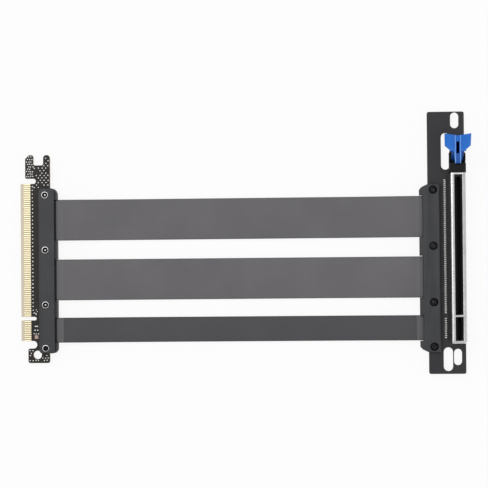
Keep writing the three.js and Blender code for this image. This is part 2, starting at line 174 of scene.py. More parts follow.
def cutBy(obj, cutter):
    pick(obj)
    cut = obj.modifiers.new("cut", "BOOLEAN")
    cut.operation = "DIFFERENCE"
    cut.solver = "EXACT"
    cut.object = cutter
    bpy.ops.object.modifier_apply(modifier="cut")
    bpy.data.objects.remove(cutter)
    return obj


def box(name, middle, size):
    # a box by its middle in metres and its size in mm
    deselectAll()
    bpy.ops.mesh.primitive_cube_add(size=1, location=middle)
    obj = added(name)
    obj.scale = [value * mm for value in size]
    return settle(obj)


def block(name, x0, x1, y0, y1, z0, z1):
    # a box by its sides in the source file's frame, in mm
    middle = at((x0 + x1) / 2, (y0 + y1) / 2, (z0 + z1) / 2)
    return box(name, middle, (x1 - x0, y1 - y0, z1 - z0))


def cylinder(name, middle, radius, length, sides=32, turn=(0, 0, 0)):
    deselectAll()
    bpy.ops.mesh.primitive_cylinder_add(
        vertices=sides, radius=radius * mm, depth=length * mm, location=middle, rotation=turn
    )
    return settle(added(name))


def rod(name, x, y, z0, z1, radius, sides=32):
    return cylinder(name, at(x, y, (z0 + z1) / 2), radius, z1 - z0, sides)


def chooseTop(obj):
    choose(obj, "faces", lambda face: face.normal.z > 0.9)


def chooseBottom(obj):
    choose(obj, "faces", lambda face: face.normal.z < -0.9)


def bevelChosen(width, segments, profile=0.5):
    bpy.ops.mesh.bevel(offset=width * mm, segments=segments, profile=profile, affect="EDGES")


def bevelUprights(obj, x, y, width, segments=4):
    # rounds the upright edges that stand at one corner of a plan
    spot = at(x, y, 0)
    edit(obj, "EDGE")
    near = 2e-5

    def atCorner(edge):
        return all(abs(v.co.x - spot.x) < near and abs(v.co.y - spot.y) < near for v in edge.verts)

    choose(obj, "edges", atCorner)
    bevelChosen(width, segments)
    done()


def slotCutter(x0, x1, y0, y1, radius):
    cutter = block("slotCutter", x0, x1, y0, y1, 0, 9)
    for x in (x0, x1):
        for y in (y0, y1):
            bevelUprights(cutter, x, y, radius, 6)
    return cutter


def joined(pieces, name):
    deselectAll()
    for piece in pieces:
        piece.select_set(True)
    bpy.context.view_layer.objects.active = pieces[0]
    bpy.ops.object.join()
    return named(bpy.context.object, name)


def twin(obj, name, place=(0, 0, 0), turn=(0, 0, 0), size=1):
    # a copy with its own mesh, turned and widened about the origin and then put in its place
    pick(obj)
    bpy.ops.object.duplicate()
    copy = added(name)
    copy.rotation_euler = turn
    copy.scale = (size, size, 1)
    copy.location = place
    return settle(copy)


def copyOfNode(node, name):
    obj = bpy.data.objects.new(name, cadNodes[node].data.copy())
    bpy.context.scene.collection.objects.link(obj)
    obj.data.materials.clear()
    edit(obj)
    bpy.ops.mesh.select_all(action="SELECT")
    bpy.ops.mesh.remove_doubles(threshold=2e-6)
    bpy.ops.mesh.dissolve_limited(angle_limit=math.radians(1))
    done()
    return named(obj, name)


def dress(obj, material):
    if "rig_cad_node" in obj:
        for part in obj.material_slots:
            part.material = material
    else:
        obj.data.materials.clear()
        obj.data.materials.append(material)
    return obj


def place(obj, body, slot, *replaced):
    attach(obj, body)
    if replaced:
        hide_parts(*replaced)
    return obj


# Ribbons: the route repeats the one in the source file
ribbon = {
    "middles": (22.4, -9.5, -36.3),
    "widths": (21.8, 21.8, 13.3),
    "thickness": 2.4,
    "roundness": 0.75,
    "neckEnd": (6.4, 6.9),  # where the sleeve starts and has its full width
    "sleeve": 0.28,  # what the sleeve adds to the thickness
    "start": 0.3,
    "lie": 0.06,
    "inHousing": 3.85,
    "steps": 150,
    "cornerSteps": 5,
    "uvPerMm": 0.1,
}
ribbonFall = ((0, 1.0), (7, 1.0), (13, 0.93), (20, 0.7), (28, 0.36), (37, 0.1), (48, 0), (64, 0), (82, 0))


def fallAt(away):
    # share of the height left, smooth between the points of the route
    points = ribbonFall
    if away >= points[-1][0]:
        return 0.0
    for i in range(len(points) - 1):
        (x0, y0), (x1, y1) = points[i], points[i + 1]
        if x0 <= away <= x1:
            before = points[max(i - 1, 0)]
            after = points[min(i + 2, len(points) - 1)]
            slope0 = (y1 - before[1]) / (x1 - before[0])
            slope1 = (after[1] - y0) / (after[0] - x0)
            t = (away - x0) / (x1 - x0)
            step = x1 - x0
            a = (1 + 2 * t) * (1 - t) ** 2
            b = t * (1 - t) ** 2
            c = t * t * (3 - 2 * t)
            d = t * t * (t - 1)
            return min(max(a * y0 + b * slope0 * step + c * y1 + d * slope1 * step, 0.0), 1.0)
    return 0.0


def ribbonRoute():
    first = edgeBoardX + ribbon["start"]
    last = socketBoardX - ribbon["start"]
    low = ribbon["thickness"] / 2 + ribbon["lie"]
    route = []
    for i in range(ribbon["steps"] + 1):
        x = first + (last - first) * i / ribbon["steps"]
        away = min(x - first, last - x)
        z = low + (ribbon["inHousing"] - low) * fallAt(away)
        route.append((x, z, away))
    return route


def ribbonSection(width, thickness):
    # half round sides and a very low crown on top, counted round from the lower left corner
    radius = ribbon["roundness"]
    half = width / 2
    points = []
    for side, start in ((1, -90), (1, 0), (-1, 90), (-1, 180)):
        cx = side * (half - radius)
        cz = (1 if start in (0, 90) else -1) * (thickness / 2 - radius)
        for i in range(ribbon["cornerSteps"] + 1):
            angle = math.radians(start + 90 * i / ribbon["cornerSteps"])
            points.append((cx + radius * math.cos(angle), cz + radius * math.sin(angle)))
    return points


def makeRibbon(index):
    name = f"sleevedRibbon{index + 1}"
    middle, width = ribbon["middles"][index], ribbon["widths"][index]
    route = ribbonRoute()
    mesh = bmesh.new()
    uv = mesh.loops.layers.uv.new("alongAndAcross")
    rings, alongs = [], []
    along = 0.0
    neckStart, neckFull = ribbon["neckEnd"]
    for i, (x, z, away) in enumerate(route):
        if i:
            along += math.dist(route[i - 1][:2], route[i][:2])
        share = min(max((away - neckStart) / (neckFull - neckStart), 0.0), 1.0)
        share = share * share * (3 - 2 * share)
        section = ribbonSection(width, ribbon["thickness"] - ribbon["sleeve"] * (1 - share))
        rings.append([mesh.verts.new(at(x, middle - y, z + dz)) for y, dz in section])
        alongs.append(along)
    count = len(rings[0])
    around = [0.0]
    section = ribbonSection(width, ribbon["thickness"])
    for k in range(count):
        around.append(around[-1] + math.dist(section[k], section[(k + 1) % count]))
    for i in range(len(rings) - 1):
        for k in range(count):
            n = (k + 1) % count
            face = mesh.faces.new((rings[i][k], rings[i][n], rings[i + 1][n], rings[i + 1][k]))
            for loop, (di, dk) in zip(face.loops, ((0, 0), (0, 1), (1, 1), (1, 0))):
                spot = (alongs[i + di], around[k + dk])
                loop[uv].uv = [value * ribbon["uvPerMm"] for value in spot]
    mesh.faces.new(list(reversed(rings[0])))
    mesh.faces.new(rings[-1])
    bmesh.ops.recalc_face_normals(mesh, faces=mesh.faces)
    data = bpy.data.meshes.new(name)
    mesh.to_mesh(data)
    mesh.free()
    obj = bpy.data.objects.new(name, data)
    bpy.context.scene.collection.objects.link(obj)
    smooth(obj, 40)
    place(obj, "riser", "ribbon_sleeve", f"ribbon_{index + 1}")
    return obj


ribbons = [makeRibbon(i) for i in range(3)]
print("ribbons laid")

# Clamp housing of the socket end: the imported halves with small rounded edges
housing = {
    "rounding": 0.22,
    "segments": 3,
}


def makeShell(node, name):
    obj = copyOfNode(node, name)
    rounded(obj, housing["rounding"], housing["segments"], 40)
    smooth(obj, 30)
    return place(obj, "riser", "housing_plastic", node)


# Edge end, set to the photograph: the board's outline and the two halves of its housing
edgeEnd = {
    "middle": 3.85,
    "halfBoard": 0.8,
    "hook": (2.6, 57.3),  # left side and top
    "tongue": (-41.93, 41.93),
    "hookGap": (8.3, 2.8),
    "footGap": (8.5, 4.0),
    "notch": (7.0, 12.3, 51.8),
    "key": (8.25, 1.9, -30.0),
    "foot": (3.7, 15.3, -53.7),
    "footHole": (8.7, -49.35, 2.25),
    "bevel": (1.7, 0.5),
    "fingers": (1.7, 5.35, 0.72),
    "fingerRise": 0.03,
    "back": 9.8 - 3.9,
    "overhang": 3.9,
    "bottom": -48.5,
    "top": 39.4,
    "lip": (1.5, 2.0),
    "pocket": 1.65,
    "seat": 0.85,
    "outer": 3.85,
    "rows": (35.8, 6.5, -22.7, -45.8),
    "screwBack": 2.4,
    "screwHole": 1.2,
    # radius of each recess and the height that it ends at
    "insertHole": (2.08, 5.05),
    "headHole": (2.25, 1.65),
    "corners": ((1.8, 1.8), (3.4, 2.6)),  # top and bottom, board side and cable side
}
contacts = {
    "pitch": 1.0,
    "keyY": -30.0,
    "keyStep": 3.0,
    "counts": (11, 71),
}


def contactPlaces():
    short, long = contacts["counts"]
    first = contacts["keyY"] - contacts["keyStep"] / 2 - (short - 1) * contacts["pitch"]
    second = contacts["keyY"] + contacts["keyStep"] / 2
    spots = [first + i * contacts["pitch"] for i in range(short)]
    return spots + [second + i * contacts["pitch"] for i in range(long)]


def makeEdgeBoard():
    size = edgeEnd
    low, high = size["middle"] - size["halfBoard"], size["middle"] + size["halfBoard"]
    left, top = size["hook"]
    tongueLow, tongueTop = size["tongue"]
    footLeft, footRight, footLow = size["foot"]
    obj = block("edgeBoard", 0, edgeBoardX, footLow, top, low, high)
    gapX, gap = size["hookGap"]
    footGapX, footGap = size["footGap"]
    notchLeft, notchRight, notchFloor = size["notch"]
    keyX, keyWidth, keyY = size["key"]
    far = 9.0
    cuts = [
        slotCutter(-far, gapX, tongueTop, tongueTop + gap, gap / 2 - 0.01),
        slotCutter(-far, left, tongueTop + gap / 2, top + far, 0.01),
        slotCutter(-far, footGapX, tongueLow - footGap, tongueLow, footGap / 2 - 0.01),
        slotCutter(-far, footLeft, footLow - far, tongueLow - footGap / 2, 0.01),
        slotCutter(notchLeft, notchRight, notchFloor, top + far, 1.0),
        slotCutter(-far, keyX, keyY - keyWidth / 2, keyY + keyWidth / 2, keyWidth / 2 - 0.01),
        slotCutter(footRight, footRight + far, footLow - far, size["bottom"] + 2, 0.01),
        rod("footHole", *size["footHole"][:2], 0, 9, size["footHole"][2], 40),
    ]
    for row in size["rows"]:
        cuts.append(rod("screwHole", edgeBoardX - size["screwBack"], row, 0, 9, size["screwHole"], 20))
    for cut in cuts:
        cutBy(obj, cut)
    edit(obj)
    bpy.ops.mesh.select_all(action="SELECT")
    bpy.ops.mesh.remove_doubles(threshold=5e-6)
    bpy.ops.mesh.dissolve_limited(angle_limit=math.radians(1))
    done()
    # each corner of the plan with its rounding and the rounding's segments
    corners = (
        (left, top, 2.0, 1),
        (notchLeft, top, 1.2, 5),
        (notchRight, top, 1.7, 6),
        (edgeBoardX, top, 1.7, 6),
        (left, tongueTop + gap, 0.6, 2),
        (footLeft, footLow, 1.0, 5),
        (footRight, footLow, 1.0, 5),
        (footLeft, tongueLow - footGap, 1.0, 5),
    )
    for x, y, width, segments in corners:
        bevelUprights(obj, x, y, width, segments)
    # the lead-in bevel of the tongue
    reach, drop = size["bevel"]
    for side in (1, -1):
        face = high if side > 0 else low
        ends = sorted((face - side * 0.01, face + side))
        wedge = block("wedge", -reach, reach, tongueLow - 1, tongueTop + 1, *ends)
        edit(wedge, "EDGE")
        outer = at(-reach, 0, face)

        def atOuterEdge(edge):
            return all(abs(v.co.z - outer.z) < 5e-5 and abs(v.co.x - outer.x) < 1e-5 for v in edge.verts)

        choose(wedge, "edges", atOuterEdge)
        bpy.ops.transform.translate(value=(0, 0, -side * drop * 2 * mm))
        done()
        cutBy(obj, wedge)
    smooth(obj, 30)
    return place(obj, "riser", "edge_laminate", "edge_board")


def makeFingers():
    # one gold finger, copied along both faces of the tongue
    start, end, width = edgeEnd["fingers"]
    places = contactPlaces()
    rise = edgeEnd["fingerRise"]
    copies = []
    for side in (1, -1):
        face = edgeEnd["middle"] + side * edgeEnd["halfBoard"]
        low, high = places[0] - width / 2, places[0] + width / 2
        first = block("finger", start, end, low, high, face - rise, face + rise)
        rounded(first, 0.02, 1, 60)
        for y in places[1:]:
            copies.append(twin(first, "finger", (0, (y - places[0]) * mm, 0)))
        copies.append(first)
    return place(joined(copies, "goldFingers"), "riser", "edge_laminate")


def makeEdgeHalf(side, name, node):
    size = edgeEnd
    middle = size["middle"]
    near, far = middle + side * 0.02, middle + side * size["outer"]
    left, right = edgeBoardX - size["back"], edgeBoardX + size["overhang"]
    obj = block(name, left, right, size["bottom"], size["top"], min(near, far), max(near, far))
    for x, widths in zip((left, right), size["corners"]):
        for y, width in zip((size["top"], size["bottom"]), widths):
            bevelUprights(obj, x, y, width, 5)
    edit(obj)
    choose(obj, "faces", lambda face: face.normal.z * side > 0.9)
    bevelChosen(0.4, 3)
    done()
    lipDepth, lipHeight = size["lip"]
    seat = size["seat"]
    low, high = size["bottom"] - 1, size["top"] + 1
    cuts = [block("seat", left - 1, edgeBoardX + 0.3, low, high, middle - seat, middle + seat)]
    step = sorted((middle + side * lipHeight, middle + side * 5))
    cuts.append(block("lipStep", right - lipDepth, right + 1, low, high, *step))
    for y, width in zip(ribbon["middles"], ribbon["widths"]):
        half = width / 2 + 0.06
        for start, reach in ((edgeBoardX, size["pocket"]), (right - lipDepth, 5)):
            ends = (y - half, y + half, middle - reach, middle + reach)
            cuts.append(block("pocket", start, right + 1, *ends))
    for row in size["rows"]:
        x = edgeBoardX - size["screwBack"]
        cuts.append(rod("throughHole", x, row, -1, 9, size["screwHole"], 24))
        if side > 0:
            radius, floor = size["insertHole"]
            cuts.append(rod("insertHole", x, row, floor, 9, radius))
        else:
            radius, ceiling = size["headHole"]
            cuts.append(rod("headHole", x, row, -1, ceiling, radius))
    for cut in cuts:
        cutBy(obj, cut)
    smooth(obj, 30)
    return place(obj, "riser", "housing_plastic", node)


edgeBoard = makeEdgeBoard()
goldFingers = makeFingers()
shells = [
    makeEdgeHalf(1, "edgeUpperHalf", "edge_upper_shell"),
    makeEdgeHalf(-1, "edgeLowerHalf", "edge_lower_shell"),
    makeShell("socket_upper_shell", "socketUpperHalf"),
    makeShell("socket_lower_shell", "socketLowerHalf"),
]
print("housings rounded")

# Clamp screws, modelled once with the head up and the seat at the origin
screw = {
    "headRadius": 2.05,
    "headHeight": 1.5,
    "dome": 0.5,
    "shankRadius": 0.95,
    "tipSteps": ((4.85, 0), (0.35, 0.3), (0.15, 0.25)),  # length and narrowing of each step down
    "recessLength": 2.2,
    "recessWidth": 0.5,
    "recessDepth": 0.95,
    "recessTaper": (0.45, 0.9),
    "sides": 32,
}
screwRows = (36.4, 6.8, -22.8, -46.2)
screwBack = 2.8
screwSeatZ = (1.65, 6.05)  # seats of the edge end's and of the socket end's screws


def makeScrew():
    height = screw["headHeight"] * mm
    head = cylinder(
        "clampScrew", (0, 0, height / 2), screw["headRadius"], screw["headHeight"], screw["sides"]
    )
    edit(head)
    chooseTop(head)
    bevelChosen(screw["dome"], 4)
    chooseBottom(head)
    bpy.ops.mesh.inset(thickness=(screw["headRadius"] - screw["shankRadius"]) * mm)
    for length, narrower in screw["tipSteps"]:
        bpy.ops.mesh.extrude_region_move(TRANSFORM_OT_translate={"value": (0, 0, -length * mm)})
        if narrower:
            factor = 1 - narrower / screw["shankRadius"]
            bpy.ops.transform.resize(value=(factor, factor, 1), center_override=(0, 0, 0))
    done()
    half = screw["recessLength"] / 2 * mm
    wide = screw["recessWidth"] / 2 * mm
    top = height + 0.2 * mm
    deep = height - screw["recessDepth"] * mm
    arms = []
    for i in range(2):
        bpy.ops.mesh.primitive_cube_add(size=1, location=(0, 0, (top + deep) / 2))
        arm = added(f"recessArm{i}")
        arm.scale = (half * 2, wide * 2, top - deep)
        arm.rotation_euler = (0, 0, math.radians(90 * i))
        settle(arm)
        edit(arm)
        chooseBottom(arm)
        taper = screw["recessTaper"] if i == 0 else screw["recessTaper"][::-1]
        bpy.ops.transform.resize(value=(*taper, 1), center_override=(0, 0, deep))
        done()
        arms.append(arm)
    for arm in arms:
        cutBy(head, arm)
    smooth(head, 40)
    return head


insert = {
    "radius": 1.84,
    "bore": 1.5,
    "length": 2.5,
    "lip": 0.1,
    "sides": 32,
    "z": 7.7,  # upper face of the edge end
}
screwTip = {
    "radius": 0.42,
    "height": 0.3,
    "rounding": 0.08,
    "z": 7.1,
    "count": 3,
}


def makeInsert():
    # top face at the origin, the bore open from above
    middle = (0, 0, -insert["length"] * mm / 2)
    ring = cylinder("clampInsert", middle, insert["radius"], insert["length"], insert["sides"])
    edit(ring)
    chooseTop(ring)
    bevelChosen(insert["lip"], 2)
    choose(ring, "faces", lambda face: abs(face.normal.z) > 0.99)
    wall = (insert["radius"] - insert["lip"] - insert["bore"]) * mm
    bpy.ops.mesh.inset(thickness=wall, use_even_offset=True)
    bpy.ops.mesh.bridge_edge_loops()
    done()
    smooth(ring, 40)
    return ring


screwModel = makeScrew()
insertModel = makeInsert()
tipModel = cylinder("screwTip", (0, 0, 0), screwTip["radius"], screwTip["height"], 16)
rounded(tipModel, screwTip["rounding"], 2, 50)
tips = []
screwTurns = random.Random(7)
screws, inserts = [], []
for i, row in enumerate(screwRows):
    edgeX, edgeRow = edgeBoardX - edgeEnd["screwBack"], edgeEnd["rows"][i]
    edgePlace = at(edgeX, edgeRow, screwSeatZ[0])
    socketPlace = at(socketBoardX + screwBack, row, screwSeatZ[1])
    spin = math.radians(screwTurns.uniform(0, 90))
    down = twin(screwModel, f"edgeScrew{i + 1}", edgePlace, (math.pi, 0, spin))
    up = twin(screwModel, f"socketScrew{i + 1}", socketPlace, (0, 0, spin))
    screws += [place(down, "riser", "screw_steel", f"edge_screw_{i + 1}")]
    screws += [place(up, "riser", "screw_steel", f"socket_screw_{i + 1}")]
    edgeTop = at(edgeX, edgeRow, insert["z"])
    socketLow = at(socketBoardX + screwBack, row, 0.0)
    above = twin(insertModel, f"edgeInsert{i + 1}", edgeTop)
    below = twin(insertModel, f"socketInsert{i + 1}", socketLow, (math.pi, 0, 0))
    inserts += [place(above, "riser", "insert_metal", f"edge_insert_{i + 1}")]
    if i < screwTip["count"]:
        tip = twin(tipModel, f"edgeScrewTip{i + 1}", at(edgeX, edgeRow, screwTip["z"]))
        tips.append(place(tip, "riser", "screw_steel"))
    inserts += [place(below, "riser", "insert_metal", f"socket_insert_{i + 1}")]
for model in (screwModel, insertModel, tipModel):
    bpy.data.objects.remove(model)
print("screws and inserts in")

# Socket shield: folded sheet steel with two mouths and a bar between them
shield = {
    "x": socketBoardX + 15.6,
    "y": 0.3,
    "length": 89.4,
    "width": 7.8,
    "height": 11.25,
    "wall": 0.3,
    "foldRadius": 0.55,
    "rimSide": 1.8,
    "rimEnd": 1.1,
    "rimKeyEnd": 1.4,
    "keyY": -30.0,
    "keyBar": 0.9,
    "neckHalf": 3.3,
    "neckTop": 7.5,
}


def bisectAt(obj, point, normal):
    bpy.ops.mesh.select_all(action="SELECT")
    bpy.ops.mesh.bisect(plane_co=point, plane_no=normal)


def makeShield():
    bottom = boardTop
    centre = at(shield["x"], shield["y"], bottom + shield["height"] / 2)
    obj = box("slotShield", centre, (shield["width"], shield["length"], shield["height"]))
    edit(obj, "EDGE")
    top = at(0, 0, bottom + shield["height"]).z
    low = at(0, 0, bottom).z
    choose(obj, "edges", lambda edge: any(v.co.z > low + 1e-5 for v in edge.verts))
    bevelChosen(shield["foldRadius"], 4)
    bpy.ops.mesh.select_mode(type="FACE")
    chooseBottom(obj)
    bpy.ops.mesh.delete(type="FACE")
    half = shield["width"] / 2 - shield["rimSide"]
    front = shield["y"] - shield["length"] / 2 + shield["rimKeyEnd"]
    back = shield["y"] + shield["length"] / 2 - shield["rimEnd"]
    keyLow = shield["keyY"] - shield["keyBar"] / 2
    keyHigh = shield["keyY"] + shield["keyBar"] / 2
    for x in (shield["x"] - half, shield["x"] + half):
        bisectAt(obj, at(x, 0, 0), (1, 0, 0))
    for x in (shield["x"] - shield["neckHalf"], shield["x"] + shield["neckHalf"]):
        bisectAt(obj, at(x, 0, 0), (1, 0, 0))
    for y in (front, keyLow, keyHigh, back):
        bisectAt(obj, at(0, y, 0), (0, 1, 0))
    bisectAt(obj, at(0, 0, bottom + shield["neckTop"]), (0, 0, 1))
    leftX, rightX = at(shield["x"] - half, 0, 0).x, at(shield["x"] + half, 0, 0).x
    mouths = [(at(0, front, 0).y, at(0, keyLow, 0).y), (at(0, keyHigh, 0).y, at(0, back, 0).y)]

    def inMouth(face):
        spot = face.calc_center_median()
        inside = leftX < spot.x < rightX and spot.z > top - 1e-5
        return inside and any(a < spot.y < b for a, b in mouths)

    choose(obj, "faces", inMouth)
    bpy.ops.mesh.delete(type="FACE")
    neckLeft = at(shield["x"] - shield["neckHalf"], 0, 0).x
    neckRight = at(shield["x"] + shield["neckHalf"], 0, 0).x
    neckY = at(0, shield["y"] + shield["length"] / 2, 0).y - 1e-5
    neckZ = at(0, 0, bottom + shield["neckTop"]).z

    def inNeck(face):
        spot = face.calc_center_median()
        return neckLeft < spot.x < neckRight and spot.y > neckY and spot.z < neckZ

    choose(obj, "faces", inNeck)
    bpy.ops.mesh.delete(type="FACE")
    done()
    pick(obj)
    wall = obj.modifiers.new("wall", "SOLIDIFY")
    wall.thickness = shield["wall"] * mm
    wall.offset = -1
    bpy.ops.object.modifier_apply(modifier="wall")
    rounded(obj, 0.06, 2, 60)
    smooth(obj, 40)
    return place(obj, "riser", "shield_steel", "socket_shield")


shieldPiece = makeShield()
print("shield folded")

# Solder joints of the socket's contacts, one pillow copied along the two groups
joints = {
    "x": 9.0,
    "length": 1.05,
    "width": 0.5,
    "height": 0.16,
    "shift": 0.06,  # random shift across and turn of each joint
    "turn": 4,
}


def makeJoints():
    model = box("solderJoint", (0, 0, 0), (joints["length"], joints["width"], joints["height"]))
    edit(model)
    chooseTop(model)
    bevelChosen(0.1, 2, 0.6)
    done()
    draws = random.Random(3)
    copies = []
    for i, y in enumerate(contactPlaces()):
        x = socketBoardX + joints["x"] + draws.uniform(-joints["shift"], joints["shift"])
        turn = math.radians(draws.uniform(-joints["turn"], joints["turn"]))
        copy = twin(model, f"joint{i}", at(x, y, boardTop + joints["height"] / 2), (0, 0, turn))
        copies.append(copy)
    bpy.data.objects.remove(model)
    obj = joined(copies, "solderRow")
    smooth(obj, 50)
    return place(obj, "riser", "insert_metal")


solderRow = makeJoints()
print("solder row in")

# Vias and pads: flat tinned spots on the bare ends of the boards
vias = {
    "radius": 0.31,
    "height": 0.02,
    "sides": 8,
    "margin": 0.3,  # free board round each spot
    "jitter": 0.13,
    "seed": 5,
    # left, right, bottom, top, step across and step along
    "areas": (
        (2.9, 7.0, 44.6, 57.2, 1.1, 1.3),
        (7.5, 15.9, 39.9, 57.2, 2.1, 1.3),
        (3.9, 15.7, -53.6, -46.2, 1.5, 1.3),
    ),
    "missing": 0.12,  # share of the spots left out
    "column": (6.4, 40.5, -27.5, 2.0),  # X, top, bottom and step
    "columnJitter": 0.05,
    "columnSizes": (0.95, 1.2),
}

def hitFromAbove(spot, x, y):
    # height of an object's surface under a spot, or nothing
    turned = spot.matrix_world.inverted()
    high = turned @ Vector((x, y, 0.05))
    down = (turned.to_3x3() @ Vector((0, 0, -1))).normalized()
    hit, where, normal, face = spot.ray_cast(high, down)
    return (spot.matrix_world @ where).z if hit else None


def bareBoard(x, y):
    reach = vias["margin"] + vias["radius"]
    for dx, dy in ((0, 0), (1, 0), (-1, 0), (0, 1), (0, -1)):
        spot = at(x + dx * reach, y + dy * reach, 0)
        height = hitFromAbove(edgeBoard, spot.x, spot.y)
        if height is None or height < (boardTop - 0.01) * mm:
            return False
        if hitFromAbove(shells[0], spot.x, spot.y) is not None:
            return False
    return True


def viaSpots():
    draws = random.Random(vias["seed"])
    spots = []
    for left, right, bottom, top, across, along in vias["areas"]:
        rows = int((top - bottom) / along)
        for row in range(rows + 1):
            x = left + (across / 2 if row % 2 else 0)
            while x <= right:
                dx, dy = (draws.uniform(-1, 1) * vias["jitter"] for _ in range(2))
                if draws.random() > vias["missing"] and bareBoard(x + dx, bottom + row * along + dy):
                    spots.append((x + dx, bottom + row * along + dy, 1.0))
                x += across
    x, y, bottom, step = vias["column"]
    while y > bottom:
        dx = draws.uniform(-vias["columnJitter"], vias["columnJitter"])
        spots.append((x + dx, y, draws.uniform(*vias["columnSizes"])))
        y -= step
    return spots


pads = {
    "height": 0.05,
    # centre and size of each pad below the key slot
    "spots": (
        (8.1, -34.1, 1.7, 0.5),
        (7.4, -36.2, 0.6, 0.6),
        (8.8, -36.2, 0.6, 0.6),
        (6.9, -38.0, 0.5, 0.5),
        (8.0, -38.2, 0.5, 0.5),
        (9.2, -38.1, 0.5, 0.5),
        (8.0, -27.6, 0.5, 0.7),
        (7.1, -27.0, 0.9, 0.4),
        (8.6, -26.2, 0.4, 0.4),
        (8.1, -25.3, 0.4, 0.4),
    ),
}


def makePads():
    height = pads["height"]
    made = []
    for x, y, wide, long in pads["spots"]:
        sides = (x - wide / 2, x + wide / 2, y - long / 2, y + long / 2)
        made.append(block("pad", *sides, boardTop, boardTop + height))
    return place(joined(made, "edgePads"), "riser", "insert_metal")


# The small grooved part at the short end of the tongue
chip = {
    "sides": (7.3, 9.2, -40.8, -38.95),
    "height": 0.5,
    "rounding": 0.08,
    "grooves": (-40.35, -39.9, -39.45),
    "grooveHalf": 0.09,
    "grooveFloor": 0.3,
}


def makeChip():
    body = block("smallPart", *chip["sides"], boardTop, boardTop + chip["height"])
    rounded(body, chip["rounding"], 2, 50)
    left, right = chip["sides"][0] - 0.3, chip["sides"][1] + 0.3
    for y in chip["grooves"]:
        ends = (y - chip["grooveHalf"], y + chip["grooveHalf"])
        cutBy(body, block("groove", left, right, *ends, boardTop + chip["grooveFloor"], boardTop + 1))
    return place(body, "riser", "insulator_plastic")


def makeVias():
    model = cylinder("viaModel", (0, 0, 0), vias["radius"], vias["height"], vias["sides"])
    edit(model)
    chooseTop(model)
    bpy.ops.transform.resize(value=(0.85, 0.85, 1), center_override=(0, 0, 0))
    done()
    copies = []
    for i, (x, y, size) in enumerate(viaSpots()):
        spot = at(x, y, boardTop + vias["height"] / 2)
        copies.append(twin(model, f"via{i}", spot, size=size))
    bpy.data.objects.remove(model)
    return place(joined(copies, "edgeVias"), "riser", "insert_metal")


edgeVias = makeVias()
edgePads = makePads()
smallPart = makeChip()
print("vias in")

# Latch: a paddle with a prong over the socket's base, on two legs that turn on a peg
latch = {
    "x": 15.6,
    "y": 53.2,
    "z": 7.65,
    "span": 13.9,
    # out from the pivot, half width, upper and lower height
    "stations": (
        (-3.6, 1.4, 8.3, 6.6),
        (-3.1, 1.5, 9.0, 6.6),
        (-2.2, 1.6, 9.2, 6.5),
        (1.8, 2.2, 8.4, 5.9),
        (2.75, 2.3, 8.3, 5.7),
        (2.85, 4.3, 8.2, 5.6),
        (3.6, 4.3, 8.1, 5.6),
        (4.7, 5.6, 8.05, 5.7),
        (5.7, 6.75, 8.2, 5.9),
        (7.6, 6.8, 8.6, 6.5),
        (9.8, 6.88, 9.5, 7.5),
        (11.9, 6.95, 10.6, 9.0),
    ),
    "hollow": 1.1,
    "grooveHalf": 0.75,
    "groove": (1.6, 7.8),
    "grooveFloor": 6.9,
    "rib": (1.35, 6.4, 8.25),  # middle of a rib
    "ribSize": (0.64, 6.6, 0.8),
    "ribRise": 0.95,  # how far the rib's outer end stands higher
    "legX": (2.0, 3.0),
    "boss": 2.0,
    "legMove": (2.0, 4.6),  # out and up, from the boss to the leg's upper end
    "legTop": (0.75, 0.5, 6.4),  # its share of the width and height, and where it is
    "pegRadius": 1.0,
    "pegReach": 4.3,
}


def latchAt(x, y, z):
    return at(socketBoardX + latch["x"] + x, latch["y"] + y, latch["z"] + z)


def makePaddle():
    stations = latch["stations"]
    first, last = stations[0][0], stations[-1][0]
    middle = latchAt(0, (first + last) / 2, 7.5)
    obj = box("latchPaddle", middle, (2, last - first, 2))
    edit(obj, "VERT")
    for out, half, high, low in stations[1:-1]:
        bisectAt(obj, latchAt(0, out, 0), (0, 1, 0))
    for x in (-0.66, -0.33, 0, 0.33, 0.66):
        bisectAt(obj, latchAt(x, 0, 0), (1, 0, 0))
    centre = latchAt(0, 0, 0)
    for out, half, high, low in stations:
        y = latchAt(0, out, 0).y
        for upper, height in ((True, high), (False, low)):
            choose(obj, "verts", lambda v: abs(v.co.y - y) < 1e-6 and (v.co.z > middle.z) == upper)
            shift = height - (8.5 if upper else 6.5)
            bpy.ops.transform.translate(value=(0, 0, shift * mm))
            bpy.ops.transform.resize(value=(half, 1, 1), center_override=centre)
    # the shallow hollow between the tips
    tip = latchAt(0, last, 0).y
    for share in (0.7, 0.36, 0.1):
        reach = share * latch["stations"][-1][1] * mm
        choose(obj, "verts", lambda v: abs(v.co.y - tip) < 1.2 * mm and abs(v.co.x - centre.x) < reach)
        bpy.ops.transform.translate(value=(0, -(latch["hollow"] / 3) * mm, 0))
    done()
    rounded(obj, 0.22, 2, 35)
    return obj


def makeLeg(side):
    inner, outer = latch["legX"]
    middle = latchAt(side * (inner + outer) / 2, 0, 0)
    leg = cylinder("latchLeg", middle, latch["boss"], outer - inner, 32, (0, math.pi / 2, 0))
    edit(leg, "VERT")
    # the upper half of the boss is drawn up into the leg
    centre = latchAt(0, 0, 0)
    choose(leg, "verts", lambda v: v.co.z > centre.z + 1.2 * mm)
    out, up = latch["legMove"]
    bpy.ops.transform.translate(value=(0, out * mm, up * mm))
    long, high, level = latch["legTop"]
    bpy.ops.transform.resize(value=(1, long, high), center_override=latchAt(0, out, level))
    done()
    rounded(leg, 0.15, 2, 50)
    return leg


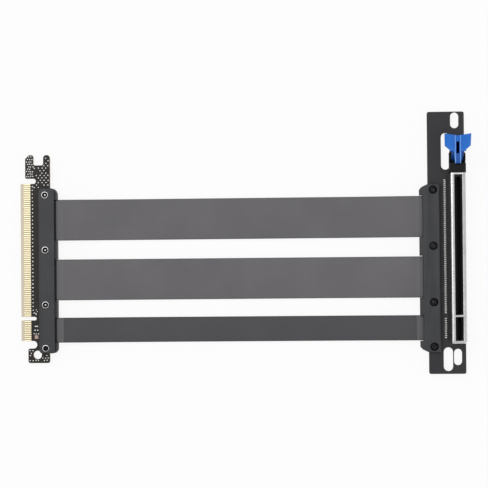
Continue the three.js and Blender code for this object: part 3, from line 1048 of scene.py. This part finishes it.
def makeLatch():
    paddle = makePaddle()
    low, high = latch["groove"]
    middle = latchAt(0, (low + high) / 2, latch["grooveFloor"] + 2)
    cutBy(paddle, box("latchGroove", middle, (latch["grooveHalf"] * 2, high - low, 4)))
    pieces = [paddle, makeLeg(1), makeLeg(-1)]
    x, y, z = latch["rib"]
    for side in (1, -1):
        middle = latchAt(side * x, y, z)
        rib = box("latchRib", middle, latch["ribSize"])
        edit(rib, "VERT")
        choose(rib, "verts", lambda v: v.co.y > middle.y)
        bpy.ops.transform.translate(value=(0, 0, latch["ribRise"] * mm))
        done()
        rounded(rib, 0.15, 2, 50)
        pieces.append(rib)
    reach = latch["pegReach"] * 2
    pieces.append(
        cylinder("latchPeg", latchAt(0, 0, 0), latch["pegRadius"], reach, 24, (0, math.pi / 2, 0))
    )
    obj = joined(pieces, "blueLatch")
    smooth(obj, 35)
    return place(obj, "latch", "latch_plastic", "latch")


latchPiece = makeLatch()
print("latch in")


# Materials
def tint(code):
    # "#rrggbb" as the linear colour that a shader takes
    values = [int(code[i : i + 2], 16) / 255 for i in (1, 3, 5)]
    linear = [v / 12.92 if v <= 0.04045 else ((v + 0.055) / 1.055) ** 2.4 for v in values]
    return (*linear, 1.0)


class NodeTree:
    # a node tree with short ways to add and wire nodes
    def __init__(self, tree):
        self.tree = tree

    def add(self, kind, **values):
        node = self.tree.nodes.new(kind)
        for name, value in values.items():
            setattr(node, name, value)
        return node

    def wire(self, source, target):
        self.tree.links.new(source, target)


class Shader(NodeTree):
    def __init__(self, name):
        self.material = bpy.data.materials.new(name)
        self.material.use_nodes = True
        super().__init__(self.material.node_tree)
        self.surface = self.tree.nodes["Principled BSDF"]

    def put(self, **sockets):
        for name, value in sockets.items():
            self.surface.inputs[name.replace("_", " ")].default_value = value


def newGroup(name, inputs, outputs):
    tree = bpy.data.node_groups.new(name, "ShaderNodeTree")
    for label, kind, value in inputs:
        socket = tree.interface.new_socket(name=label, in_out="INPUT", socket_type=kind)
        if value is not None:
            socket.default_value = value
    for label, kind in outputs:
        tree.interface.new_socket(name=label, in_out="OUTPUT", socket_type=kind)
    group = NodeTree(tree)
    return group, group.add("NodeGroupInput"), group.add("NodeGroupOutput")


def grainGroup():
    # fine moulded grain over slow clouds: a mask for colour and a height for bump
    group, entry, leave = newGroup(
        "surfaceGrain",
        [("Fine Scale", "NodeSocketFloat", 1500.0), ("Cloud Scale", "NodeSocketFloat", 60.0)],
        [("Fine", "NodeSocketFloat"), ("Cloud", "NodeSocketFloat")],
    )
    where = group.add("ShaderNodeTexCoord")
    for socket, detail in (("Fine", 3), ("Cloud", 4)):
        noise = group.add("ShaderNodeTexNoise")
        noise.inputs["Detail"].default_value = detail
        group.wire(where.outputs["Object"], noise.inputs["Vector"])
        group.wire(entry.outputs[socket + " Scale"], noise.inputs["Scale"])
        group.wire(noise.outputs["Fac"], leave.inputs[socket])
    return group.tree


def paintedEdgeLightGroup():
    # 1 along sharp edges, broken up by noise: the mask for painted edge highlights and painted edge shade
    group, entry, leave = newGroup(
        "paintedEdgeLight",
        [("Radius", "NodeSocketFloat", 0.0003), ("Amount", "NodeSocketFloat", 1.0)],
        [("Mask", "NodeSocketFloat")],
    )
    soft = group.add("ShaderNodeBevel", samples=4)
    group.wire(entry.outputs["Radius"], soft.inputs["Radius"])
    plain = group.add("ShaderNodeNewGeometry")
    dot = group.add("ShaderNodeVectorMath", operation="DOT_PRODUCT")
    group.wire(soft.outputs["Normal"], dot.inputs[0])
    group.wire(plain.outputs["Normal"], dot.inputs[1])
    sharp = ranged(group, dot.outputs["Value"], 0.995, 0.85)
    where = group.add("ShaderNodeTexCoord")
    noise = group.add("ShaderNodeTexNoise")
    noise.inputs["Scale"].default_value = 700
    group.wire(where.outputs["Object"], noise.inputs["Vector"])
    mask = product(group, sharp, noise.outputs["Fac"], entry.outputs["Amount"])
    group.wire(mask, leave.inputs["Mask"])
    return group.tree


def mixed(shader, factor, first, second):
    # a colour mix: each of first and second is a colour or an output
    mix = shader.add("ShaderNodeMix", data_type="RGBA")
    for index, value in ((6, first), (7, second)):
        if isinstance(value, tuple):
            mix.inputs[index].default_value = value
        else:
            shader.wire(value, mix.inputs[index])
    if isinstance(factor, (int, float)):
        mix.inputs[0].default_value = factor
    else:
        shader.wire(factor, mix.inputs[0])
    return mix.outputs[2]


def ranged(shader, value, low, high, toLow=0.0, toHigh=1.0):
    node = shader.add("ShaderNodeMapRange")
    for name, number in (("From Min", low), ("From Max", high), ("To Min", toLow), ("To Max", toHigh)):
        node.inputs[name].default_value = number
    shader.wire(value, node.inputs["Value"])
    return node.outputs["Result"]


def sums(shader, operation, first, second=None):
    node = shader.add("ShaderNodeMath", operation=operation)
    for index, value in enumerate((first, second)):
        if value is None:
            continue
        if isinstance(value, (int, float)):
            node.inputs[index].default_value = value
        else:
            shader.wire(value, node.inputs[index])
    return node.outputs["Value"]


def useGrain(shader, fine, cloud):
    node = shader.add("ShaderNodeGroup", node_tree=grain)
    node.inputs["Fine Scale"].default_value = fine
    node.inputs["Cloud Scale"].default_value = cloud
    return node


def usePaintedEdgeLight(shader, radius, amount):
    node = shader.add("ShaderNodeGroup", node_tree=paintedEdgeLightTree)
    node.inputs["Radius"].default_value = radius * mm
    node.inputs["Amount"].default_value = amount
    return node.outputs["Mask"]


def bumped(shader, height, distance):
    bump = shader.add("ShaderNodeBump")
    bump.inputs["Strength"].default_value = 1.0
    bump.inputs["Distance"].default_value = distance * mm
    shader.wire(height, bump.inputs["Height"])
    shader.wire(bump.outputs["Normal"], shader.surface.inputs["Normal"])


def product(shader, first, *others):
    for value in others:
        first = sums(shader, "MULTIPLY", first, value)
    return first


def between(shader, value, low, high, soft):
    # 1 inside a span, with soft ends
    rise = ranged(shader, value, low, low + soft)
    return product(shader, rise, ranged(shader, value, high, high - soft))


def objectSpot(shader):
    where = shader.add("ShaderNodeTexCoord")
    spot = shader.add("ShaderNodeSeparateXYZ")
    shader.wire(where.outputs["Object"], spot.inputs["Vector"])
    return spot.outputs


def clouded(shader, group, dark, light, low=0.35, high=0.65):
    cloudy = ranged(shader, group.outputs["Cloud"], low, high)
    return mixed(shader, cloudy, tint(dark), tint(light))


def surfaced(shader, group, colour, roughness, depth, height=None, **sockets):
    # colour, roughness and bump of a finished material
    shader.wire(colour, shader.surface.inputs["Base Color"])
    rough = ranged(shader, group.outputs["Fine"], 0.3, 0.7, *roughness)
    shader.wire(rough, shader.surface.inputs["Roughness"])
    bumped(shader, height or group.outputs["Fine"], depth)
    shader.put(**sockets)
    return shader.material


def plastic(name, dark, light, edge, roughness=(0.45, 0.6), specular=0.5):
    shader = Shader(name)
    group = useGrain(shader, 2500, 90)
    colour = clouded(shader, group, dark, light)
    # painted highlight: the lighter edge colour goes along the sharp edges where light catches them
    colour = mixed(shader, usePaintedEdgeLight(shader, 0.25, 0.8), colour, tint(edge))
    return surfaced(shader, group, colour, roughness, 0.02, Specular_IOR_Level=specular)


def metal(name, dark, light, roughness, fine=900, metallic=1.0, edge=None):
    shader = Shader(name)
    group = useGrain(shader, fine, 120)
    colour = clouded(shader, group, dark, light)
    # painted highlight: when an edge colour is given, it goes along the sharp edges
    if edge:
        colour = mixed(shader, usePaintedEdgeLight(shader, 0.2, 1.2), colour, tint(edge))
    return surfaced(shader, group, colour, roughness, 0.006, Metallic=metallic)


grain = grainGroup()
paintedEdgeLightTree = paintedEdgeLightGroup()
# the housing's edge colour #58585a is a painted edge highlight
housingPlastic = plastic("housingPlastic", "#2c2d30", "#323336", "#58585a")
insulatorPlastic = plastic("insulatorPlastic", "#070707", "#0c0b0b", "#191716", specular=0.25)

latchPaintAndLight = {
    "body": ("#2470d2", "#2f79d8"),
    # body is the blue itself; edge, prong and groove are painted shade; rib is a painted highlight
    "edge": "#123f8c",
    "prong": "#174a9c",
    "groove": "#020a3a",
    "rib": "#6ea4f0",
}


def latchPlastic():
    # moulded blue, with painted shade on the edges, on the prong and in the groove, and a painted highlight
    # on the tops of the ribs
    shader = Shader("latchBlue")
    group = useGrain(shader, 2500, 90)
    colour = clouded(shader, group, *latchPaintAndLight["body"])
    colour = mixed(shader, usePaintedEdgeLight(shader, 0.3, 1.1), colour, tint(latchPaintAndLight["edge"]))
    spot = objectSpot(shader)
    across = sums(shader, "ABSOLUTE", sums(shader, "SUBTRACT", spot["X"], latchAt(0, 0, 0).x))
    toRib = sums(shader, "ABSOLUTE", sums(shader, "SUBTRACT", across, latch["rib"][0] * mm))

    def within(value, start, end):
        return ranged(shader, value, start * mm, end * mm)

    def outward(start, end):
        return ranged(shader, spot["Y"], latchAt(0, start, 0).y, latchAt(0, end, 0).y)

    def upward(start, end):
        return ranged(shader, spot["Z"], latchAt(0, 0, start).z, latchAt(0, 0, end).z)

    # painted shade on the prong and in the groove, painted highlight on the rib tops
    paintedLightZones = (
        ("prong", (outward(2.9, 2.3), within(across, 3.4, 2.9), 0.8)),
        ("groove", (within(across, 0.85, 0.7), upward(7.9, 7.4), outward(1.5, 1.7))),
        ("rib", (within(toRib, 0.34, 0.24), upward(8.0, 8.2))),
    )
    for zone, shares in paintedLightZones:
        colour = mixed(shader, product(shader, *shares), colour, tint(latchPaintAndLight[zone]))
    return surfaced(shader, group, colour, (0.3, 0.4), 0.008, Specular_IOR_Level=0.3)


latchBlue = latchPlastic()
latchShade = plastic("latchShade", "#010420", "#020630", "#0a1c58", roughness=(0.8, 0.9), specular=0.0)
# the screw heads' pale edge colour #9a9a9c is a painted highlight on their rims and recess edges
screwSteel = metal("screwSteel", "#18181a", "#232326", (0.28, 0.42), edge="#9a9a9c")
ringSteel = metal("ringSteel", "#b4b4b6", "#c8c8ca", (0.2, 0.3))
shieldSteel = metal("shieldSteel", "#dededf", "#ececec", (0.16, 0.26))
solderTin = metal("solderTin", "#e6e6e2", "#f6f6f2", (0.3, 0.5), fine=3000, metallic=0.2)
partBody = plastic("partBody", "#c9a99a", "#d8bfb0", "#e8d8cc")


cloth = {
    "thread": 0.3,  # mm between threads
    "threadColour": "#77757a",
    "bareStrip": (0.67, 0.65, "#68686a"),  # distance from the end in UV units, and colour
    "shadow": (0.31, 0.295, "#0b0b0c"),
}


def sleeveCloth(name, dark, light):
    shader = Shader(name)
    where = shader.add("ShaderNodeUVMap", uv_map="alongAndAcross")
    split = shader.add("ShaderNodeSeparateXYZ")
    shader.wire(where.outputs["UV"], split.inputs["Vector"])
    along, around = split.outputs["X"], split.outputs["Y"]
    pitch = 2 * math.pi / (ribbon["uvPerMm"] * cloth["thread"])
    warp = sums(shader, "SINE", product(shader, along, pitch))
    weft = sums(shader, "SINE", product(shader, around, pitch))
    weave = product(shader, warp, weft)
    group = useGrain(shader, 1800, 40)
    colour = clouded(shader, group, dark, light, 0.3, 0.7)
    threads = ranged(shader, weave, -1, 1, 0.0, 0.16)
    colour = mixed(shader, threads, colour, tint(cloth["threadColour"]))
    # distance from the nearer end; the route's falls add 0.09 to its length
    total = (socketBoardX - edgeBoardX - 2 * ribbon["start"]) * ribbon["uvPerMm"] + 0.09
    fromEnd = sums(shader, "MINIMUM", along, sums(shader, "SUBTRACT", total, along))
    outer, inner, paint = cloth["bareStrip"]
    colour = mixed(shader, product(shader, ranged(shader, fromEnd, outer, inner), 0.7), colour, tint(paint))
    outer, inner, paint = cloth["shadow"]
    colour = mixed(shader, ranged(shader, fromEnd, outer, inner), colour, tint(paint))
    height = sums(shader, "ADD", product(shader, weave, 0.35), group.outputs["Fine"])
    sheen = {"Sheen_Weight": 0.15, "Sheen_Roughness": 0.5}
    return surfaced(shader, group, colour, (0.5, 0.65), 0.03, height, **sheen)


sleeve = sleeveCloth("ribbonSleeve", "#5c5a5e", "#646265")
sleeveDark = sleeveCloth("ribbonSleeveDark", "#38373b", "#3e3d41")


def laminate(name, mask, maskLight, cut, gold=None, paintedShadeBand=None):
    # solder mask on the faces, bare laminate on the cut edges, gold on the raised fingers
    shader = Shader(name)
    shape = shader.add("ShaderNodeNewGeometry")
    facing = shader.add("ShaderNodeSeparateXYZ")
    shader.wire(shape.outputs["Normal"], facing.inputs["Vector"])
    isCut = ranged(shader, sums(shader, "ABSOLUTE", facing.outputs["Z"]), 0.985, 0.975)
    spot = objectSpot(shader)
    group = useGrain(shader, 2200, 70)
    colour = clouded(shader, group, mask, maskLight, 0.3, 0.7)
    if paintedShadeBand:
        # painted shade and a brownish painted reflection close to the socket's side
        left, right, low, high = paintedShadeBand["sides"]
        across = between(shader, spot["X"], at(left, 0, 0).x, at(right, 0, 0).x, 0.5 * mm)
        along = between(shader, spot["Y"], at(0, low, 0).y, at(0, high, 0).y, 2 * mm)
        colour = mixed(shader, product(shader, across, along), colour, tint(paintedShadeBand["colour"]))
    colour = mixed(shader, isCut, colour, tint(cut))
    if gold:
        raised = sums(shader, "SUBTRACT", spot["Z"], gold["middle"] * mm)
        raised = sums(shader, "ABSOLUTE", raised)
        isGold = ranged(shader, raised, gold["rise"] * mm, (gold["rise"] + 0.01) * mm)
        colour = mixed(shader, isGold, colour, tint(gold["colour"]))
        shader.wire(product(shader, isGold, gold["metal"]), shader.surface.inputs["Metallic"])
    return surfaced(shader, group, colour, (0.35, 0.5), 0.01, Specular_IOR_Level=0.3)


edgeLaminate = laminate(
    "edgeLaminate",
    "#19130f",
    "#201813",
    "#d8cdb8",
    gold={"middle": edgeEnd["middle"], "rise": 0.82, "colour": "#f0e4c0", "metal": 0.85},
)
# the dark band beside the shield on this board is painted shade with a brownish painted reflection
socketLaminate = laminate(
    "socketLaminate",
    "#2d2c2f",
    "#333235",
    "#e0dac4",
    paintedShadeBand={"sides": (socketBoardX + 9.7, socketBoardX + 14, -44.5, 45), "colour": "#171412"},
)
finishes = (
    (housingPlastic, shells),
    (screwSteel, screws),
    (ringSteel, inserts),
    (sleeve, ribbons[:2]),
    (sleeveDark, ribbons[2:]),
    (shieldSteel, [shieldPiece]),
    (solderTin, [solderRow, edgeVias, edgePads] + tips),
    (partBody, [smallPart]),
    (latchBlue, [latchPiece]),
    (insulatorPlastic, [cadNodes["socket_body"]]),
    (edgeLaminate, [edgeBoard, goldFingers]),
    (socketLaminate, [cadNodes["socket_board"]]),
)
for material, pieces in finishes:
    for piece in pieces:
        dress(piece, material)


def lineGroove():
    # painted shade: the groove's faces take the dark, non-shiny latchShade material
    start, end = latch["groove"]
    low, high = latchAt(0, start - 0.05, 0).y, latchAt(0, end + 0.05, 0).y
    floor = latchAt(0, 0, latch["grooveFloor"] - 0.1)

    def inGroove(face):
        spot = face.calc_center_median()
        return abs(spot.x - floor.x) < 0.8 * mm and low < spot.y < high and spot.z > floor.z

    latchPiece.data.materials.append(latchShade)
    edit(latchPiece)
    choose(latchPiece, "faces", inGroove)
    latchPiece.active_material_index = 1
    bpy.ops.object.material_slot_assign()
    done()


lineGroove()
print("materials on")

# Floor, world and lamps
studio = {
    "floor": 3.0,
    "world": 0.55,
    "keyPower": 9.0,
    "keySize": 1.2,
    "keyPlace": (-0.5, 0.45, 1.5),
    "fillPower": 4.0,
    "fillPlace": (0.9, -0.7, 1.2),
    "white": 0.9,  # share of plain white that camera and mirror rays see on the floor
}


def seenDirectly(shader):
    # 1 for rays from the camera and for those that mirrors and glass pass on
    path = shader.add("ShaderNodeLightPath")
    either = sums(shader, "MAXIMUM", path.outputs["Is Camera Ray"], path.outputs["Is Glossy Ray"])
    return sums(shader, "MAXIMUM", either, path.outputs["Is Transmission Ray"])


def makeFloor():
    deselectAll()
    bpy.ops.mesh.primitive_plane_add(size=studio["floor"], location=(0, 0, -0.0002))
    floor = settle(added("studioFloor"))
    shader = Shader("paleFloor")
    shader.put(Base_Color=(0.92, 0.92, 0.92, 1), Roughness=0.9, Specular_IOR_Level=0.0)
    glow = shader.add("ShaderNodeEmission")
    glow.inputs["Color"].default_value = (1, 1, 1, 1)
    blend = shader.add("ShaderNodeMixShader")
    share = product(shader, seenDirectly(shader), studio["white"])
    shader.wire(share, blend.inputs[0])
    shader.wire(shader.surface.outputs[0], blend.inputs[1])
    shader.wire(glow.outputs[0], blend.inputs[2])
    output = shader.tree.nodes["Material Output"]
    shader.wire(blend.outputs[0], output.inputs["Surface"])
    dress(floor, shader.material)


def makeLamp(name, power, size, spot):
    data = bpy.data.lights.new(name, "AREA")
    data.energy = power
    data.size = size
    lamp = bpy.data.objects.new(name, data)
    bpy.context.scene.collection.objects.link(lamp)
    lamp.location = spot
    lamp.rotation_euler = Vector(spot).to_track_quat("Z", "Y").to_euler()


def makeWorld():
    world = bpy.data.worlds.new("softWorld")
    bpy.context.scene.world = world
    world.use_nodes = True
    nodes = NodeTree(world.node_tree)
    soft = nodes.tree.nodes["Background"]
    white = nodes.add("ShaderNodeBackground")
    for light, strength in ((soft, studio["world"]), (white, 1.0)):
        light.inputs["Color"].default_value = (1, 1, 1, 1)
        light.inputs["Strength"].default_value = strength
    path = nodes.add("ShaderNodeLightPath")
    blend = nodes.add("ShaderNodeMixShader")
    sources = (path.outputs["Is Camera Ray"], soft.outputs[0], white.outputs[0])
    for source, target in zip(sources, blend.inputs):
        nodes.wire(source, target)
    nodes.wire(blend.outputs[0], nodes.tree.nodes["World Output"].inputs["Surface"])


makeFloor()
makeWorld()
makeLamp("keyLamp", studio["keyPower"], studio["keySize"], studio["keyPlace"])
makeLamp("fillLamp", studio["fillPower"], studio["keySize"], studio["fillPlace"])
bpy.context.scene.view_settings.view_transform = "Standard"
print("studio ready")
